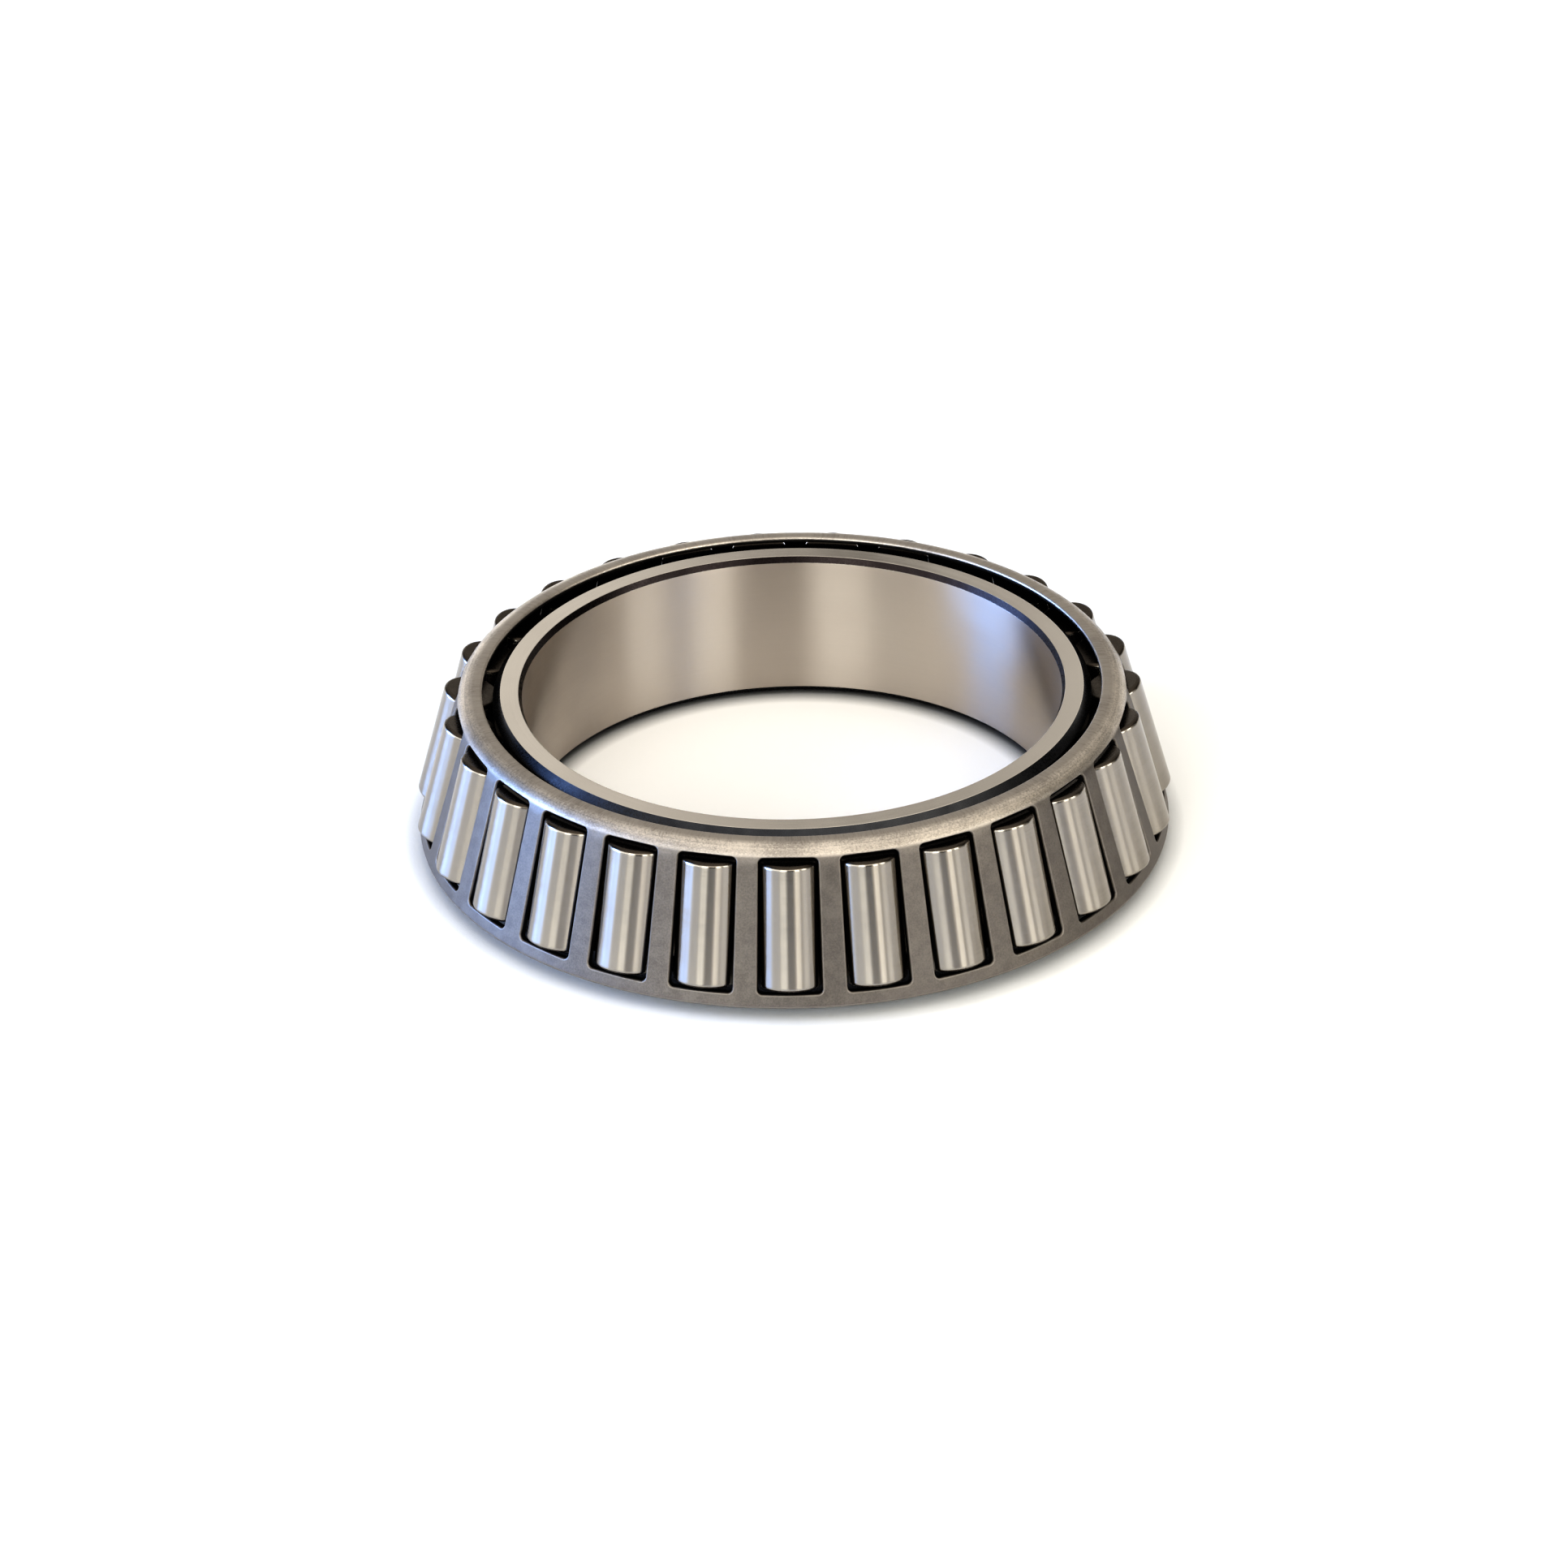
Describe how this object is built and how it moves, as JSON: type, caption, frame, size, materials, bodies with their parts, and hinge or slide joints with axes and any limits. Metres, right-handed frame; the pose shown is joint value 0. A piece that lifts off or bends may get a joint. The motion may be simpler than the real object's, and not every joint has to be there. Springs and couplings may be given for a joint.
{
  "type": "tapered roller bearing cone assembly",
  "caption": "Tapered roller bearing cone: an inner ring with a through bore, a pressed steel cage and a full row of tapered rollers that turn on the ring's conical raceway.",
  "frame": {"origin": "centre of the inner ring's wide back face, which rests on the surface", "axes": "+Z along the bore axis from the wide back face to the narrow front face; -Y through the first roller"},
  "size_m": [0.0896, 0.0895, 0.0194],
  "materials": {
    "ring_steel": "fine ground bearing steel, satin",
    "cage_steel": "pressed sheet steel, tumbled matt grey with a burnished bend",
    "roller_steel": "superfinished bearing steel, bright"
  },
  "bodies": {
    "inner_ring": {"inner_ring": "ring_steel"},
    "cage": {"cage": "cage_steel"},
    "roller_01": {"roller_01": "roller_steel"},
    "roller_02": {"roller_02": "roller_steel"},
    "roller_03": {"roller_03": "roller_steel"},
    "roller_04": {"roller_04": "roller_steel"},
    "roller_05": {"roller_05": "roller_steel"},
    "roller_06": {"roller_06": "roller_steel"},
    "roller_07": {"roller_07": "roller_steel"},
    "roller_08": {"roller_08": "roller_steel"},
    "roller_09": {"roller_09": "roller_steel"},
    "roller_10": {"roller_10": "roller_steel"},
    "roller_11": {"roller_11": "roller_steel"},
    "roller_12": {"roller_12": "roller_steel"},
    "roller_13": {"roller_13": "roller_steel"},
    "roller_14": {"roller_14": "roller_steel"},
    "roller_15": {"roller_15": "roller_steel"},
    "roller_16": {"roller_16": "roller_steel"},
    "roller_17": {"roller_17": "roller_steel"},
    "roller_18": {"roller_18": "roller_steel"},
    "roller_19": {"roller_19": "roller_steel"},
    "roller_20": {"roller_20": "roller_steel"},
    "roller_21": {"roller_21": "roller_steel"},
    "roller_22": {"roller_22": "roller_steel"},
    "roller_23": {"roller_23": "roller_steel"},
    "roller_24": {"roller_24": "roller_steel"},
    "roller_25": {"roller_25": "roller_steel"},
    "roller_26": {"roller_26": "roller_steel"},
    "roller_27": {"roller_27": "roller_steel"}
  },
  "joints": [
    {"name": "cage_spin", "type": "hinge", "parent": "inner_ring", "child": "cage", "pos_m": [0, 0, 0.0105], "axis": [0, 0, 1], "continuous": true},
    {"name": "roller_01_spin", "type": "hinge", "parent": "cage", "child": "roller_01", "pos_m": [0, -0.03957, 0.01007], "axis": [0, 0.2455, 0.9694], "continuous": true},
    {"name": "roller_02_spin", "type": "hinge", "parent": "cage", "child": "roller_02", "pos_m": [0.00913, -0.0385, 0.01007], "axis": [-0.0566, 0.2389, 0.9694], "continuous": true},
    {"name": "roller_03_spin", "type": "hinge", "parent": "cage", "child": "roller_03", "pos_m": [0.01776, -0.03536, 0.01007], "axis": [-0.1102, 0.2194, 0.9694], "continuous": true},
    {"name": "roller_04_spin", "type": "hinge", "parent": "cage", "child": "roller_04", "pos_m": [0.02543, -0.03031, 0.01007], "axis": [-0.1578, 0.188, 0.9694], "continuous": true},
    {"name": "roller_05_spin", "type": "hinge", "parent": "cage", "child": "roller_05", "pos_m": [0.03174, -0.02363, 0.01007], "axis": [-0.1969, 0.1466, 0.9694], "continuous": true},
    {"name": "roller_06_spin", "type": "hinge", "parent": "cage", "child": "roller_06", "pos_m": [0.03633, -0.01567, 0.01007], "axis": [-0.2254, 0.0972, 0.9694], "continuous": true},
    {"name": "roller_07_spin", "type": "hinge", "parent": "cage", "child": "roller_07", "pos_m": [0.03897, -0.00687, 0.01007], "axis": [-0.2417, 0.0426, 0.9694], "continuous": true},
    {"name": "roller_08_spin", "type": "hinge", "parent": "cage", "child": "roller_08", "pos_m": [0.0395, 0.0023, 0.01007], "axis": [-0.2451, -0.0143, 0.9694], "continuous": true},
    {"name": "roller_09_spin", "type": "hinge", "parent": "cage", "child": "roller_09", "pos_m": [0.03791, 0.01135, 0.01007], "axis": [-0.2352, -0.0704, 0.9694], "continuous": true},
    {"name": "roller_10_spin", "type": "hinge", "parent": "cage", "child": "roller_10", "pos_m": [0.03427, 0.01978, 0.01007], "axis": [-0.2126, -0.1227, 0.9694], "continuous": true},
    {"name": "roller_11_spin", "type": "hinge", "parent": "cage", "child": "roller_11", "pos_m": [0.02878, 0.02715, 0.01007], "axis": [-0.1786, -0.1685, 0.9694], "continuous": true},
    {"name": "roller_12_spin", "type": "hinge", "parent": "cage", "child": "roller_12", "pos_m": [0.02174, 0.03306, 0.01007], "axis": [-0.1349, -0.2051, 0.9694], "continuous": true},
    {"name": "roller_13_spin", "type": "hinge", "parent": "cage", "child": "roller_13", "pos_m": [0.01353, 0.03718, 0.01007], "axis": [-0.084, -0.2307, 0.9694], "continuous": true},
    {"name": "roller_14_spin", "type": "hinge", "parent": "cage", "child": "roller_14", "pos_m": [0.00459, 0.0393, 0.01007], "axis": [-0.0285, -0.2438, 0.9694], "continuous": true},
    {"name": "roller_15_spin", "type": "hinge", "parent": "cage", "child": "roller_15", "pos_m": [-0.00459, 0.0393, 0.01007], "axis": [0.0285, -0.2438, 0.9694], "continuous": true},
    {"name": "roller_16_spin", "type": "hinge", "parent": "cage", "child": "roller_16", "pos_m": [-0.01353, 0.03718, 0.01007], "axis": [0.084, -0.2307, 0.9694], "continuous": true},
    {"name": "roller_17_spin", "type": "hinge", "parent": "cage", "child": "roller_17", "pos_m": [-0.02174, 0.03306, 0.01007], "axis": [0.1349, -0.2051, 0.9694], "continuous": true},
    {"name": "roller_18_spin", "type": "hinge", "parent": "cage", "child": "roller_18", "pos_m": [-0.02878, 0.02715, 0.01007], "axis": [0.1786, -0.1685, 0.9694], "continuous": true},
    {"name": "roller_19_spin", "type": "hinge", "parent": "cage", "child": "roller_19", "pos_m": [-0.03427, 0.01978, 0.01007], "axis": [0.2126, -0.1227, 0.9694], "continuous": true},
    {"name": "roller_20_spin", "type": "hinge", "parent": "cage", "child": "roller_20", "pos_m": [-0.03791, 0.01135, 0.01007], "axis": [0.2352, -0.0704, 0.9694], "continuous": true},
    {"name": "roller_21_spin", "type": "hinge", "parent": "cage", "child": "roller_21", "pos_m": [-0.0395, 0.0023, 0.01007], "axis": [0.2451, -0.0143, 0.9694], "continuous": true},
    {"name": "roller_22_spin", "type": "hinge", "parent": "cage", "child": "roller_22", "pos_m": [-0.03897, -0.00687, 0.01007], "axis": [0.2417, 0.0426, 0.9694], "continuous": true},
    {"name": "roller_23_spin", "type": "hinge", "parent": "cage", "child": "roller_23", "pos_m": [-0.03633, -0.01567, 0.01007], "axis": [0.2254, 0.0972, 0.9694], "continuous": true},
    {"name": "roller_24_spin", "type": "hinge", "parent": "cage", "child": "roller_24", "pos_m": [-0.03174, -0.02363, 0.01007], "axis": [0.1969, 0.1466, 0.9694], "continuous": true},
    {"name": "roller_25_spin", "type": "hinge", "parent": "cage", "child": "roller_25", "pos_m": [-0.02543, -0.03031, 0.01007], "axis": [0.1578, 0.188, 0.9694], "continuous": true},
    {"name": "roller_26_spin", "type": "hinge", "parent": "cage", "child": "roller_26", "pos_m": [-0.01776, -0.03536, 0.01007], "axis": [0.1102, 0.2194, 0.9694], "continuous": true},
    {"name": "roller_27_spin", "type": "hinge", "parent": "cage", "child": "roller_27", "pos_m": [-0.00913, -0.0385, 0.01007], "axis": [0.0566, 0.2389, 0.9694], "continuous": true}
  ],
  "couplings": [
    {"joint": "roller_01_spin", "follows": "cage_spin", "ratio": 9.9317},
    {"joint": "roller_02_spin", "follows": "cage_spin", "ratio": 9.9317},
    {"joint": "roller_03_spin", "follows": "cage_spin", "ratio": 9.9317},
    {"joint": "roller_04_spin", "follows": "cage_spin", "ratio": 9.9317},
    {"joint": "roller_05_spin", "follows": "cage_spin", "ratio": 9.9317},
    {"joint": "roller_06_spin", "follows": "cage_spin", "ratio": 9.9317},
    {"joint": "roller_07_spin", "follows": "cage_spin", "ratio": 9.9317},
    {"joint": "roller_08_spin", "follows": "cage_spin", "ratio": 9.9317},
    {"joint": "roller_09_spin", "follows": "cage_spin", "ratio": 9.9317},
    {"joint": "roller_10_spin", "follows": "cage_spin", "ratio": 9.9317},
    {"joint": "roller_11_spin", "follows": "cage_spin", "ratio": 9.9317},
    {"joint": "roller_12_spin", "follows": "cage_spin", "ratio": 9.9317},
    {"joint": "roller_13_spin", "follows": "cage_spin", "ratio": 9.9317},
    {"joint": "roller_14_spin", "follows": "cage_spin", "ratio": 9.9317},
    {"joint": "roller_15_spin", "follows": "cage_spin", "ratio": 9.9317},
    {"joint": "roller_16_spin", "follows": "cage_spin", "ratio": 9.9317},
    {"joint": "roller_17_spin", "follows": "cage_spin", "ratio": 9.9317},
    {"joint": "roller_18_spin", "follows": "cage_spin", "ratio": 9.9317},
    {"joint": "roller_19_spin", "follows": "cage_spin", "ratio": 9.9317},
    {"joint": "roller_20_spin", "follows": "cage_spin", "ratio": 9.9317},
    {"joint": "roller_21_spin", "follows": "cage_spin", "ratio": 9.9317},
    {"joint": "roller_22_spin", "follows": "cage_spin", "ratio": 9.9317},
    {"joint": "roller_23_spin", "follows": "cage_spin", "ratio": 9.9317},
    {"joint": "roller_24_spin", "follows": "cage_spin", "ratio": 9.9317},
    {"joint": "roller_25_spin", "follows": "cage_spin", "ratio": 9.9317},
    {"joint": "roller_26_spin", "follows": "cage_spin", "ratio": 9.9317},
    {"joint": "roller_27_spin", "follows": "cage_spin", "ratio": 9.9317}
  ]
}
